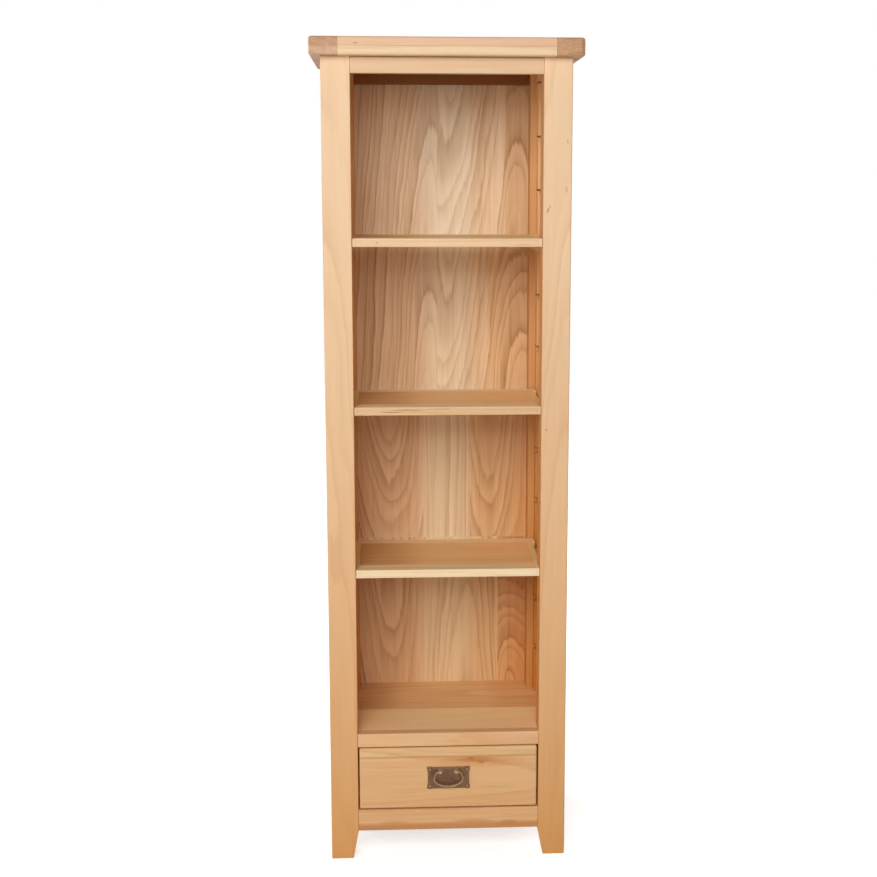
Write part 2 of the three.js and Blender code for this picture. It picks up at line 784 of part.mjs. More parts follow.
// The plate's outline, drawn from its middle and taken in all round by an inset: the
// sides step in between the four corners, so that these stand out as ears.
function plateOutline(inset) {
  const a = plateWidth / 2 - inset;
  const b = plateHeight / 2 - inset;
  const ear = earLength - inset;
  const points = [];
  for (const [sx, sz] of [[1, 1], [-1, 1], [-1, -1], [1, -1]]) {
    const corner = [
      [sx * (a - earStep), sz * (b - ear)],
      [sx * a, sz * (b - ear + 2 * earStep)],
      [sx * a, sz * b],
      [sx * (a - ear + 2 * earStep), sz * b],
      [sx * (a - ear), sz * (b - earStep / 2)],
    ];
    points.push(...(sx * sz > 0 ? corner : corner.reverse()));
  }
  return polygon(points);
}

function makePlate() {
  const plate = extrude(plateOutline(0), "y", [-plateThickness, plateThickness], plateBevel);
  const field = extrude(plateOutline(plateRimWidth), "y", [-2 * plateThickness, fieldFront]);
  const front = cut(plate, field).intersect(block({
    x: [-plateWidth, plateWidth], y: [-2 * plateThickness, 0], z: [-plateHeight, plateHeight],
  }));
  const rivets = [];
  for (const sx of [-1, 1]) {
    for (const sz of [-1, 1]) {
      const head = new THREE.SphereGeometry(rivetRadius, 10, 6);
      head.scale(1, rivetHeight / rivetRadius, 1);
      head.translate(
        sx * (plateWidth / 2 - rivetEdgeDistance), fieldFront, sz * (plateHeight / 2 - rivetEdgeDistance));
      rivets.push(solidOf(head));
    }
  }
  return join(front, ...rivets);
}

// A pivot is turned about its own axis, which stands out of the plate, and drilled across.
function makePivot() {
  const profile = [
    new THREE.Vector2(0, 0),
    new THREE.Vector2(pivotFlangeRadius, 0),
    new THREE.Vector2(pivotFlangeRadius, pivotFlangeHeight / 2),
    new THREE.Vector2(pivotStemRadius, pivotFlangeHeight),
  ];
  const ballSteps = 8;
  const first = Math.asin(pivotStemRadius / pivotBallRadius);
  for (let i = 0; i <= ballSteps; i++) {
    const angle = first + ((Math.PI - first) * i) / ballSteps;
    const radius = i === ballSteps ? 0 : pivotBallRadius * Math.sin(angle);
    profile.push(new THREE.Vector2(radius, pivotStandOff - pivotBallRadius * Math.cos(angle)));
  }
  const turned = new THREE.LatheGeometry(profile, pivotSides);
  const boreRadius = (bailPinRadius + bailPinPlay) / Math.cos(Math.PI / pivotSides);
  const hole = new THREE.CylinderGeometry(boreRadius, boreRadius, 4 * pivotBallRadius, pivotSides);
  hole.rotateZ(Math.PI / 2);
  hole.translate(0, pivotStandOff, 0);
  return cut(solidOf(turned), solidOf(hole));
}

// The middle line of the bail's right half in x, z: pin, shoulder and half of the bowl.
function bailHalfLine() {
  const quarter = Math.PI / 2;
  const half = bailWidth / 2;
  const clearOfBall = pivotSpacing / 2 + pivotBallRadius;
  const shoulder = new THREE.EllipseCurve(
    clearOfBall, -bailShoulderDrop, half - clearOfBall, bailShoulderDrop, quarter, 0, true);
  const bowl = new THREE.EllipseCurve(
    0, -bailShoulderDrop, half, bailDrop - bailShoulderDrop, 0, -quarter, true);
  const pin = new THREE.Vector2(pivotSpacing / 2 - bailPinInside, 0);
  return [pin, ...shoulder.getPoints(8), ...bowl.getPoints(14).slice(1)];
}

// A round bar along a line in the x, z plane; its radius swells with the fall below the pins.
function sweptBar(line, radiusAt, sides) {
  const positions = [];
  const rings = line.map((point, i) => {
    const before = line[Math.max(i - 1, 0)];
    const after = line[Math.min(i + 1, line.length - 1)];
    const along = new THREE.Vector2().subVectors(after, before).normalize();
    const radius = radiusAt(point);
    return Array.from({ length: sides }, (_, k) => {
      const angle = (2 * Math.PI * k) / sides;
      const across = radius * Math.cos(angle);
      return [point.x - along.y * across, radius * Math.sin(angle), point.y + along.x * across];
    });
  });
  const put = (...corners) => corners.forEach((corner) => positions.push(...corner));
  for (let i = 0; i + 1 < rings.length; i++) {
    for (let k = 0; k < sides; k++) {
      const next = (k + 1) % sides;
      put(rings[i][k], rings[i + 1][k], rings[i + 1][next]);
      put(rings[i][k], rings[i + 1][next], rings[i][next]);
    }
  }
  const last = rings[rings.length - 1];
  for (let k = 1; k + 1 < sides; k++) {
    put(rings[0][0], rings[0][k], rings[0][k + 1]);
    put(last[0], last[k + 1], last[k]);
  }
  const geometry = new THREE.BufferGeometry();
  geometry.setAttribute("position", new THREE.BufferAttribute(new Float32Array(positions), 3));
  return geometry;
}

function makeBail() {
  const right = bailHalfLine();
  const left = right.slice(0, -1).map((point) => new THREE.Vector2(-point.x, point.y));
  const line = [...right, ...left.reverse()];
  const radiusAt = (point) => {
    const fall = Math.min(Math.max(-point.y / bailDrop, 0), 1);
    return bailPinRadius + (bailMiddleRadius - bailPinRadius) * fall;
  };
  return solidOf(sweptBar(line, radiusAt, bailSides));
}

function makeHandle(drawer) {
  const handle = new THREE.Group();
  handle.position.set(0, -seam, drawerFrontLow + drawerFrontHeight / 2);
  drawer.add(handle);
  addPiece(handle, "handle_plate", makePlate(), antiqueBrass);
  for (const side of [-1, 1]) {
    const name = side > 0 ? "handle_pivot_right" : "handle_pivot_left";
    const place = [(side * pivotSpacing) / 2, fieldFront - seam, pivotRise];
    addPiece(handle, name, makePivot(), antiqueBrass, place).rotation.x = Math.PI;
  }
  const bailPlace = [0, fieldFront - seam - pivotStandOff, pivotRise];
  addPiece(handle, "handle_bail", makeBail(), antiqueBrass, bailPlace);
}

// Assembly
const bookcase = new THREE.Group();
const caseFrame = new THREE.Group();
caseFrame.position.y = frontOfCase;
bookcase.add(caseFrame);
makeTop(caseFrame);
makeCrossRails(caseFrame);
makeSides(caseFrame);
makeBackPanel(caseFrame);
makeFloor(caseFrame);
makeShelves(caseFrame);
makeDrawer(caseFrame);

export default bookcase;
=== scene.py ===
"""A tall, narrow oak bookcase with a drawer below, dressed for a picture.

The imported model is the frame: every wooden piece keeps its own mesh and gets an oak
material here, with its grain along the piece. The handle gets an aged brass finish.
Places and sizes are in metres, and colours are written as numbers from 0 to 255.
"""

import math
from collections import namedtuple

import bmesh
import bpy
from mathutils import Matrix, Vector


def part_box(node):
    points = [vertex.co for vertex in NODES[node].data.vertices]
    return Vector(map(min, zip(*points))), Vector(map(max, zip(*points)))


bl_info = {
    "name": "Oak bookcase",
    "version": (1, 0, 0),
    "blender": (4, 5, 0),
    "location": "3D View > Sidebar > Bookcase",
    "description": "Finishes the pieces of an oak bookcase and sets up its picture",
    "category": "Object",
}

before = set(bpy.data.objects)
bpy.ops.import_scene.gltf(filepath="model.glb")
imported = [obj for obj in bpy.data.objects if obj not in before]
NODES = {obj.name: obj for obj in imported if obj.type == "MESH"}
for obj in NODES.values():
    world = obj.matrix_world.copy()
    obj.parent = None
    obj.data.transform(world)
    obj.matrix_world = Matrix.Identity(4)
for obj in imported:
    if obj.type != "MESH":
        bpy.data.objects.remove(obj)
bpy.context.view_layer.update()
SHELVES = (1, 2, 3)
HANDS = {"left": -1, "right": 1}

# Where the finishes line up with the frame: the sides and the rear of the right posts, the
# sides and faces of the back panel, and the heights of the top and the shelves
(POST_INNER, _, _), (POST_OUTER, POST_REAR, _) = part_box("rear_post_right")
(BACK_LEFT, BACK_FRONT, _), (BACK_RIGHT, BACK_REAR, _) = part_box("back_panel")
UNDER_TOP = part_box("top_front_strip")[0][2]
SHELF_UNDERSIDES = [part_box(f"shelf_{n}_panel")[0][2] for n in SHELVES]
SHELF_TOPS = [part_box(f"shelf_{n}_panel")[1][2] for n in SHELVES]
SHELF_MIDDLES = [(low + high) / 2 for low, high in zip(SHELF_UNDERSIDES, SHELF_TOPS)]

# A spot of another colour: patches lie under the grain and specks on top of it. It covers
# the whole piece along an axis on which its size is 0.
Spot = namedtuple("Spot", "centre size colour strength")

# The log that a board is cut from: its middle across and into the board, its leans in both
# directions, the width of a year's growth, and the height that the leans start from
Log = namedtuple("Log", "across deep lean_across lean_deep rings up")

# A leaf of veneer: where it starts, its log's place, lean, depth, tilt and rings, and its tone
Leaf = namedtuple("Leaf", "start heart lean depth tilt rings tone")

# A band of leaves from left to right. It begins at a place on an axis and covers the bands
# before it. Its logs lean from its middle height.
Band = namedtuple("Band", "axis start middle leaves")

# Painted shadows under the notches' upper faces at even heights, no further than inner from the middle of the
# case
NotchShadows = namedtuple("NotchShadows", "first step thickness inner")

# Noise drawn out along the grain: how fine it is across it and along it, its detail and
# roughness, and how far it is moved across
Drawn = namedtuple("Drawn", "across along detail roughness moved", defaults=(0.0,))


def linear(rgb):
    """A colour written as numbers from 0 to 255, made linear."""
    values = [c / 255 for c in rgb]
    return [c / 12.92 if c <= 0.04045 else ((c + 0.055) / 1.055) ** 2.4 for c in values] + [1.0]


class Shader:
    """Builds the nodes of one material, or of the world."""

    def __init__(self, name, world=None):
        self.owner = world or bpy.data.materials.new(name)
        self.owner.use_nodes = True
        self.tree = self.owner.node_tree
        self.tree.nodes.clear()

    def node(self, kind, inputs=(), **settings):
        """A new node with its inputs and settings filled in."""
        made = self.tree.nodes.new(kind)
        for key, value in settings.items():
            setattr(made, key, value)
        for key, value in dict(inputs).items():
            self.feed(made.inputs[key], value)
        return made

    def feed(self, socket, value):
        """Gives a socket a value, or links it to another node's output."""
        if isinstance(value, bpy.types.NodeSocket):
            self.tree.links.new(value, socket)
        else:
            socket.default_value = value

    def calc(self, operation, *values):
        """The outcome of one step of arithmetic."""
        made = self.node("ShaderNodeMath", operation=operation)
        for socket, value in zip(made.inputs, values):
            self.feed(socket, value)
        return made.outputs[0]

    def vector(self, x, y, z):
        return self.node("ShaderNodeCombineXYZ", {"X": x, "Y": y, "Z": z}).outputs[0]

    def mix(self, factor, a, b, blend="MIX"):
        """Blends the colour b into the colour a."""
        made = self.node("ShaderNodeMix", data_type="RGBA", blend_type=blend)
        self.feed(made.inputs[0], factor)
        self.feed(made.inputs[6], a)
        self.feed(made.inputs[7], b)
        return made.outputs[2]

    def ramp(self, value, stops, interpolation="LINEAR"):
        """Turns a number into a colour or a grey through stops of (place, colour or grey)."""
        made = self.node("ShaderNodeValToRGB", {"Fac": value})
        made.color_ramp.interpolation = interpolation
        elements = made.color_ramp.elements
        while len(elements) < len(stops):
            elements.new(1.0)
        for element, (place, colour) in zip(elements, stops):
            element.position = place
            element.color = colour if hasattr(colour, "__len__") else (colour, colour, colour, 1.0)
        return made.outputs[0]

    def noise(self, vector, scale, detail, roughness):
        inputs = {"Vector": vector, "Scale": scale, "Detail": detail, "Roughness": roughness}
        return self.node("ShaderNodeTexNoise", inputs).outputs[0]

    def spread(self, value, low, high, to_low=0.0, to_high=1.0, smooth=False):
        """Moves a value from one range to another and keeps it inside that."""
        kind = "SMOOTHSTEP" if smooth else "LINEAR"
        made = self.node("ShaderNodeMapRange", interpolation_type=kind)
        for key, number in zip(("Value", "From Min", "From Max", "To Min", "To Max"),
                               (value, low, high, to_low, to_high)):
            self.feed(made.inputs[key], number)
        return made.outputs[0]

    def close(self, last, output="ShaderNodeOutputMaterial"):
        """Leads the last shader node to the output, and gives what was built."""
        self.tree.links.new(last.outputs[0], self.node(output).inputs[0])
        return self.owner


class PieceShader(Shader):
    """Builds the nodes of a piece's material, which reads the place of a point on the piece."""

    def __init__(self, name):
        super().__init__(name)
        self.place = self.node("ShaderNodeTexCoord").outputs["Object"]
        split = self.node("ShaderNodeSeparateXYZ", {"Vector": self.place})
        self.axis = {letter: split.outputs[i] for i, letter in enumerate("XYZ")}

    def share(self, spot, softness):
        """How much of a soft-edged oval spot shows: its strength in the middle and 0 outside."""
        total = None
        for letter, middle, half in zip("XYZ", spot.centre, spot.size):
            if not half:
                continue
            off = self.calc("ABSOLUTE", self.calc("SUBTRACT", self.axis[letter], middle))
            part = self.calc("POWER", self.calc("DIVIDE", off, half), 2.0)
            total = part if total is None else self.calc("ADD", total, part)
        inside = self.spread(total, 1.0, 1.0 - softness, 0.0, 1.0, smooth=True)
        return self.calc("MULTIPLY", inside, spot.strength)


class WoodShader(PieceShader):
    """Builds a wood, with a board's own directions: across its face, into it and along it."""

    AXES = {"x": "ZYX", "y": "XZY", "z": "XYZ"}

    def __init__(self, name, grain):
        super().__init__(name)
        self.across, self.deep, self.along = (self.axis[letter] for letter in self.AXES[grain])

    def stretched(self, wide, long, moved=0.0):
        """A place scaled by so much across the grain and so much along it."""
        return self.vector(self.calc("MULTIPLY_ADD", self.across, wide, moved),
                           self.calc("MULTIPLY", self.deep, wide), self.calc("MULTIPLY", self.along, long))

    def drawn_out(self, drawn):
        """Noise drawn out along the grain."""
        place = self.stretched(drawn.across, drawn.along, drawn.moved)
        return self.noise(place, 1.0, drawn.detail, drawn.roughness)


# The middle value of noise
NOISE_MIDDLE = 0.5

# The noises that bend the growth rings, and by how many rings' width each does
SWAY = (7.0, 1.5)
BULGE = Drawn(11.0, 2.4, 2.0, 0.45, 3.0)
BULGE_RINGS = 5.0
JAG = Drawn(150.0, 11.0, 2.0, 0.65)
JAG_RINGS = 0.45
CROWD = 45.0
CROWD_RINGS = 2.5
# How dark a growth ring is from its inner side to its outer side, and what is left of that
# in the faintest year
RING_SHADES = [(0.0, 0.1), (0.12, 1.0), (0.26, 0.66), (0.55, 0.28), (0.88, 0.05), (1.0, 0.1)]
FAINTEST_RING = 0.12

# The noises that darken the wood between the lines, and how strongly each shows
STREAKS = Drawn(95.0, 2.2, 3.0, 0.6)
STREAK_DEPTH = 0.3
FIBRES = Drawn(480.0, 7.0, 2.0, 0.5)
FIBRE_DEPTH = 0.22
CLOUD = Drawn(7.0, 1.8, 2.0, 0.5, 9.0)
CLOUD_DEPTH = 0.18
PORES = Drawn(1100.0, 38.0, 2.0, 0.5)
PORE_DEPTH = 0.16
YEAR_DEPTH = 0.16
# The values that nearly all noise lies between, and those at which pores begin and are full
NOISE_RANGE = (0.3, 0.7)
PORE_RANGE = (0.56, 0.72)

# What a patch's colour is multiplied by in the growth lines
PATCH_LINES = (0.84, 0.78, 0.72)
PATCH_SOFTNESS = 0.95
SPECK_SOFTNESS = 0.8
RIVET_SOFTNESS = 0.7
# The height above which no painted shade is laid, and how fast the painted shade and painted warm light from
# the floor grow below it
LOW_SHADE_FROM = 1.85
LOW_SHADE_POWER = 1.6
# The colour of the painted shadow under a notch's upper face, its strength, and the shares of its thickness
# that it fades between
NOTCH_SHADOW = (84, 46, 20)
NOTCH_SHADOW_STRENGTH = 0.85
NOTCH_SHADOW_FADE = (0.4, 0.6)


def growth_rings(s, log, wander, swell):
    """The lines of the growth rings, and a number from 0 to 1 for each year."""
    sway = s.node("ShaderNodeTexNoise", {"Vector": s.stretched(*SWAY), "Scale": 1.0, "Detail": 2.0})
    sway = s.node("ShaderNodeSeparateColor", {"Color": sway.outputs["Color"]}).outputs[0]
    off_across = s.calc("SUBTRACT", s.across, log.across)
    off_across = s.calc("SUBTRACT", off_across, s.calc("MULTIPLY", log.up, log.lean_across))
    off_across = s.calc("ADD", off_across, s.calc("MULTIPLY", s.calc("SUBTRACT", sway, NOISE_MIDDLE), wander))
    off_deep = s.calc("SUBTRACT", s.deep, log.deep)
    off_deep = s.calc("SUBTRACT", off_deep, s.calc("MULTIPLY", log.up, log.lean_deep))
    radius = s.calc("SQRT", s.calc("ADD", s.calc("MULTIPLY", off_across, off_across),
                                   s.calc("MULTIPLY", off_deep, off_deep)))
    crowd = s.noise(s.vector(s.calc("MULTIPLY", radius, CROWD), 0.0, 0.0), 1.0, 1.0, 0.5)
    ring = s.calc("DIVIDE", radius, log.rings)
    ring = s.calc("ADD", ring, s.calc("MULTIPLY", s.drawn_out(BULGE), BULGE_RINGS * swell))
    ring = s.calc("ADD", ring, s.calc("ADD", s.calc("MULTIPLY", s.drawn_out(JAG), JAG_RINGS),
                                      s.calc("MULTIPLY", crowd, CROWD_RINGS)))
    year = s.node("ShaderNodeTexWhiteNoise", {"W": s.calc("FLOOR", ring)}, noise_dimensions="1D")
    line = s.ramp(s.calc("FRACT", ring), RING_SHADES)
    line = s.calc("MULTIPLY", line, s.spread(year.outputs["Value"], 0.0, 1.0, FAINTEST_RING, 1.0))
    return line, s.node("ShaderNodeSeparateColor", {"Color": year.outputs["Color"]}).outputs[1]


# What is added to a number that may be below 0 while a colour ramp holds it
RAISE = 0.5


def leaf_log(s, bands, span):
    """Reads bands of veneer leaves. Gives the log and the tone at each point."""
    low_x, high_x = span
    x = s.spread(s.axis["X"], low_x, high_x)
    found = None
    for band in bands:
        places = [(leaf.start - low_x) / (high_x - low_x) for leaf in band.leaves]
        columns = ([(leaf.heart + RAISE, leaf.lean + RAISE, leaf.depth + RAISE, 1.0) for leaf in band.leaves],
                   [(leaf.rings, leaf.tilt + RAISE, 0.0, 1.0) for leaf in band.leaves],
                   [linear(leaf.tone) for leaf in band.leaves])
        rows = [s.ramp(x, list(zip(places, column)), "CONSTANT") for column in columns]
        rows.append((band.middle, band.middle, band.middle, 1.0))
        if found is None:
            found = rows
            continue
        beyond = s.calc("GREATER_THAN", s.axis[band.axis], band.start)
        found = [s.mix(beyond, before, row) for before, row in zip(found, rows)]
    place, growth, tone, middle = found
    parts = list(s.node("ShaderNodeSeparateColor", {"Color": place}).outputs)[:3]
    heart, lean, depth = (s.calc("SUBTRACT", part, RAISE) for part in parts)
    rings, tilt = list(s.node("ShaderNodeSeparateColor", {"Color": growth}).outputs)[:2]
    log = Log(heart, s.calc("ADD", depth, BACK_FRONT), s.calc("SUBTRACT", tilt, RAISE), lean, rings,
              s.calc("SUBTRACT", s.axis["Z"], middle))
    return log, tone


def oak(name, grain, light, dark, heart=(0.0, 0.05), slope=(0.0, 0.0), rings=0.006, figure=0.5,
        wander=0.01, swell=0.6, streak=0.5, low_shade=1.0, low_shade_tint=(234, 199, 147), specks=(), patches=(),
        notch_shadows=None, bands=(), span=None, roughness=0.5):
    """Oak with its growth rings cut from a leaning log.

    grain is the axis along the board. heart is where the log's middle lies, across the
    board and into it, and slope how far it leans from the board in each direction. rings
    is the width of a year's growth, wander how far the log bends and swell how much it
    bulges. figure is how strongly the growth rings show, and streak how strongly the
    streaks and fibres between them do. low_shade_tint is painted shade and painted warm
    light from the floor, which darkens and warms the wood towards the ground by as much as
    low_shade says. patches and specks are spots of other colours. bands are veneer leaves
    between the two ends of span, each with a log of its own.
    """
    s = WoodShader(name, grain)
    log, tone = Log(*heart, *slope, rings, s.along), None
    if bands:
        log, tone = leaf_log(s, bands, span)
    line, year_tone = growth_rings(s, log, wander, swell)
    pore_lines = s.spread(s.drawn_out(PORES), *PORE_RANGE)

    base, shade = linear(light), linear(dark)
    for patch in patches:
        part = s.share(patch, PATCH_SOFTNESS)
        base = s.mix(part, base, linear(patch.colour))
        shade = s.mix(part, shade, linear([c * k for c, k in zip(patch.colour, PATCH_LINES)]))
    cloud = s.spread(s.drawn_out(CLOUD), *NOISE_RANGE)
    streaks = s.spread(s.drawn_out(STREAKS), *NOISE_RANGE)
    fibres = s.spread(s.drawn_out(FIBRES), *NOISE_RANGE, -0.5, 0.5)
    depth = s.calc("ADD", s.calc("MULTIPLY", line, figure), s.calc("MULTIPLY", cloud, CLOUD_DEPTH))
    depth = s.calc("ADD", depth, s.spread(year_tone, 0.0, 1.0, -YEAR_DEPTH * figure, YEAR_DEPTH * figure))
    depth = s.calc("ADD", depth, s.calc("MULTIPLY", streaks, STREAK_DEPTH * streak))
    depth = s.calc("ADD", depth, s.calc("MULTIPLY", fibres, FIBRE_DEPTH * streak))
    colour = s.mix(depth, base, shade)
    if bands:
        colour = s.mix(1.0, colour, tone, "MULTIPLY")
    # Painted shade and painted warm light from the floor: the colour grows darker and warmer towards the
    # ground
    low = s.calc("MULTIPLY", s.calc("POWER", s.spread(s.axis["Z"], LOW_SHADE_FROM, 0.0), LOW_SHADE_POWER), low_shade)
    colour = s.mix(low, colour, s.mix(1.0, colour, linear(low_shade_tint), "MULTIPLY"))
    for speck in specks:
        colour = s.mix(s.share(speck, SPECK_SOFTNESS), colour, linear(speck.colour))
    if notch_shadows:
        colour = paint_notch_shadows(s, colour, notch_shadows)
    colour = s.mix(s.calc("MULTIPLY", pore_lines, PORE_DEPTH), colour, shade)

    height = s.calc("ADD", s.calc("MULTIPLY", pore_lines, -0.5), s.calc("MULTIPLY", line, -0.25))
    bump = s.node("ShaderNodeBump", {"Strength": 0.25, "Distance": 0.0004, "Height": height})
    gloss = s.spread(line, 0.0, 1.0, roughness - 0.04, roughness + 0.08)
    skin = s.node("ShaderNodeBsdfPrincipled",
                  {"Base Color": colour, "Roughness": gloss, "Normal": bump.outputs[0]})
    skin.inputs["Specular IOR Level"].default_value = 0.3
    return s.close(skin)


def paint_notch_shadows(s, colour, notch_shadows):
    """A colour with painted shadows under the notches' upper faces drawn over it at even heights."""
    off = s.calc("PINGPONG", s.calc("SUBTRACT", s.axis["Z"], notch_shadows.first), notch_shadows.step / 2)
    # cut holds the painted shadow at the top of each notch
    cut = s.spread(off, *(notch_shadows.thickness * share for share in NOTCH_SHADOW_FADE), 1.0, 0.0)
    near = s.calc("LESS_THAN", s.calc("ABSOLUTE", s.axis["X"]), notch_shadows.inner)
    return s.mix(s.calc("MULTIPLY", s.calc("MULTIPLY", cut, near), NOTCH_SHADOW_STRENGTH), colour, linear(NOTCH_SHADOW))


# How fine the brass's mottling and grit are, and how dark its hollows are against the rest
MOTTLING = 90.0
GRIT = 900.0
HOLLOW_SHARE = 0.72
MOTTLED_RANGE = (0.35, 0.7)
# The pointiness where rubbing begins, which is a flat face's, and where it is full
RUBBED_RANGE = (0.5, 0.58)


def brass(name, field, worn, wear, rivets=()):
    """Aged brass: dark in the hollows, rubbed lighter on the edges, and lighter on the rivets as rubbed brass
    with a painted highlight.
    """
    s = PieceShader(name)
    cloud = s.noise(s.place, MOTTLING, 5.0, 0.6)
    grit = s.noise(s.place, GRIT, 3.0, 0.6)
    edge = s.spread(s.node("ShaderNodeNewGeometry").outputs["Pointiness"], *RUBBED_RANGE)
    hollow = [c * HOLLOW_SHARE for c in field]
    mottled = s.mix(s.spread(cloud, *MOTTLED_RANGE), linear(field), linear(hollow))
    colour = s.mix(s.calc("MULTIPLY", edge, wear), mottled, linear(worn))
    for rivet in rivets:
        colour = s.mix(s.share(rivet, RIVET_SOFTNESS), colour, linear(rivet.colour))
    bump = s.node("ShaderNodeBump", {"Strength": 0.3, "Distance": 0.0003, "Height": grit})
    rough = s.spread(cloud, *NOISE_RANGE, 0.38, 0.52)
    skin = s.node("ShaderNodeBsdfPrincipled",
                  {"Base Color": colour, "Roughness": rough, "Normal": bump.outputs[0]})
    skin.inputs["Metallic"].default_value = 0.4
    return s.close(skin)


def finish(node, material):
    """Gives a piece of the frame its material."""
    mesh = NODES[node].data
    mesh.materials.clear()
    mesh.materials.append(material)


class BookcaseFinish(bpy.types.PropertyGroup):
    """Colours of the wood and the handle."""

    light: bpy.props.FloatVectorProperty(
        name="Oak", description="Light colour of the frame's oak, from 0 to 255",
        default=(241, 207, 168), size=3, min=0, max=255)
    dark: bpy.props.FloatVectorProperty(
        name="Oak rings", description="Colour of the growth lines in the frame's oak, from 0 to 255",
        default=(219, 172, 126), size=3, min=0, max=255)
    panel_light: bpy.props.FloatVectorProperty(
        name="Panel", description="Light colour of the back panel, from 0 to 255",
        default=(248, 222, 187), size=3, min=0, max=255)
    panel_dark: bpy.props.FloatVectorProperty(
        name="Panel rings", description="Colour of the growth lines in the back panel, from 0 to 255",
        default=(184, 140, 96), size=3, min=0, max=255)
    # The rear oak is a shaded copy of the frame's oak: painted shade and painted orange reflected light for
    # faces inside the case
    shaded_rear_oak: bpy.props.FloatVectorProperty(
        name="Rear oak", description="Light colour of the rear posts' inner faces, from 0 to 255",
        default=(222, 172, 113), size=3, min=0, max=255)
    shaded_rear_rings: bpy.props.FloatVectorProperty(
        name="Rear oak rings", description="Colour of the growth lines in the rear posts, from 0 to 255",
        default=(200, 142, 86), size=3, min=0, max=255)
    plate: bpy.props.FloatVectorProperty(
        name="Brass", description="Colour of the darkened brass, from 0 to 255",
        default=(121, 84, 51), size=3, min=0, max=255)
    plate_worn: bpy.props.FloatVectorProperty(
        name="Rubbed brass", description="Colour of the brass where it is rubbed bright, from 0 to 255",
        default=(224, 194, 148), size=3, min=0, max=255)


class BookcaseStage(bpy.types.PropertyGroup):
    """The camera and the light."""

    lens: bpy.props.FloatProperty(
        name="Lens", description="Focal length of the camera, in millimetres",
        default=61.02, min=10)
    eye: bpy.props.FloatVectorProperty(
        name="Camera", description="Place of the camera", default=(-0.1217, -3.3367, 1.4902), size=3,
        subtype="TRANSLATION", unit="LENGTH")
    yaw: bpy.props.FloatProperty(
        name="Turn", description="Turn of the camera to its right", default=math.radians(3.24),
        subtype="ANGLE")
    pitch: bpy.props.FloatProperty(
        name="Tilt", description="Tilt of the camera below the horizon", default=math.radians(9.51),
        subtype="ANGLE")
    roll: bpy.props.FloatProperty(
        name="Roll", description="Roll of the camera about its own axis", default=math.radians(0.08),
        subtype="ANGLE")
    shift: bpy.props.FloatProperty(
        name="Shift", description="Sideways shift of the lens, as a share of the picture",
        default=-0.0410)
    key: bpy.props.FloatProperty(
        name="Key light", description="Power of the large lamp at the front, in watts",
        default=187.0, min=0)
    front: bpy.props.FloatProperty(
        name="Front light", description="Power of the lamp near the camera, in watts",
        default=24.0, min=0)
    rear: bpy.props.FloatProperty(
        name="Rear lights", description="Power of each of the two lamps behind, in watts",
        default=90.0, min=0)
    side: bpy.props.FloatProperty(
        name="Side light", description="Power of the lamp at the left, in watts", default=22.0, min=0)
    fill: bpy.props.FloatProperty(
        name="Surrounding light", description="Strength of the light from all round",
        default=0.08, min=0)


# Knots and short cracks on the right front post
POST_KNOTS = (
    Spot((0.2116, 0, 1.4440), (0.0024, 0, 0.0034), (158, 116, 84), 0.7),
    Spot((0.2137, 0, 1.4490), (0.0022, 0, 0.0040), (150, 108, 76), 0.7),
    Spot((0.2168, 0, 1.4550), (0.0020, 0, 0.0038), (168, 126, 94), 0.6),
    Spot((0.2133, 0, 0.9766), (0.0032, 0, 0.0016), (150, 104, 66), 0.8),
    Spot((0.2530, 0, 1.5900), (0.0024, 0, 0.0060), (196, 154, 118), 0.6),
    Spot((0.2520, 0, 1.4900), (0.0024, 0, 0.0080), (198, 156, 120), 0.6),
)


class BOOKCASE_OT_posts(bpy.types.Operator):
    """Finish the four posts in straight-grained oak"""

    bl_idname = "bookcase.posts"
    bl_label = "Posts"

    def execute(self, context):
        look = context.scene.bookcase_finish
        for hand, side in HANDS.items():
            finish(f"front_post_{hand}", oak(
                f"oak_front_post_{hand}", "z", look.light, look.dark, heart=(side * 0.258, -0.10),
                slope=(side * 0.008, 0.035), rings=0.010, figure=0.36, wander=0.02,
                patches=self.front_post_painted_light_and_shade(side), specks=POST_KNOTS if hand == "right" else ()))
            # The rear posts carry the shaded rear oak on their inner faces, as painted shade and reflected
            # light
            finish(f"rear_post_{hand}", oak(
                f"oak_rear_post_{hand}", "z", look.shaded_rear_oak, look.shaded_rear_rings, heart=(side * 0.36, 0.25),
                slope=(side * 0.008, 0.01), rings=0.010, figure=0.26, wander=0.02,
                patches=self.rear_patches(side, look.light)))
        return {"FINISHED"}

    @staticmethod
    def front_post_painted_light_and_shade(side):
        """Painted shade and orange reflected light on the inner face at the edge of the opening, and painted
        shadow of the top's overhang just under the top.
        """
        return (Spot((side * POST_INNER, 0, 0), (0.0018, 0, 0), (236, 172, 112), 0.8),
                Spot((0, 0, UNDER_TOP + 0.002), (0, 0, 0.007), (216, 172, 132), 0.7))

    @staticmethod
    def rear_patches(side, light):
        """The frame's own oak, without the painted shade of the inner faces, on the outer face and the rear
        face.
        """
        return (Spot((side * (POST_OUTER + 0.007), 0, 0), (0.045, 0, 0), light, 1.0),
                Spot((side * (POST_OUTER - 0.018), POST_REAR + 0.009, 0), (0.062, 0.026, 0), light, 1.0))


# Darker wood in the joint between the top rail and the top, with painted shadow of the top's overhang
TOP_RAIL_JOINT_AND_SHADE = (Spot((0, 0, UNDER_TOP + 0.001), (0, 0, 0.0055), (180, 120, 72), 0.75),)
# The browner lower band of the bottom rail, and the swirls above it
BOTTOM_RAIL_PATCHES = (
    Spot((0, 0, 0.068), (0, 0, 0.017), (208, 150, 98), 0.75),
    Spot((0.137, 0, 0.079), (0.024, 0, 0.008), (206, 144, 92), 0.45),
    Spot((0.055, 0, 0.083), (0.055, 0, 0.007), (220, 164, 112), 0.5),
    Spot((-0.120, 0, 0.082), (0.045, 0, 0.006), (222, 168, 118), 0.5),
)


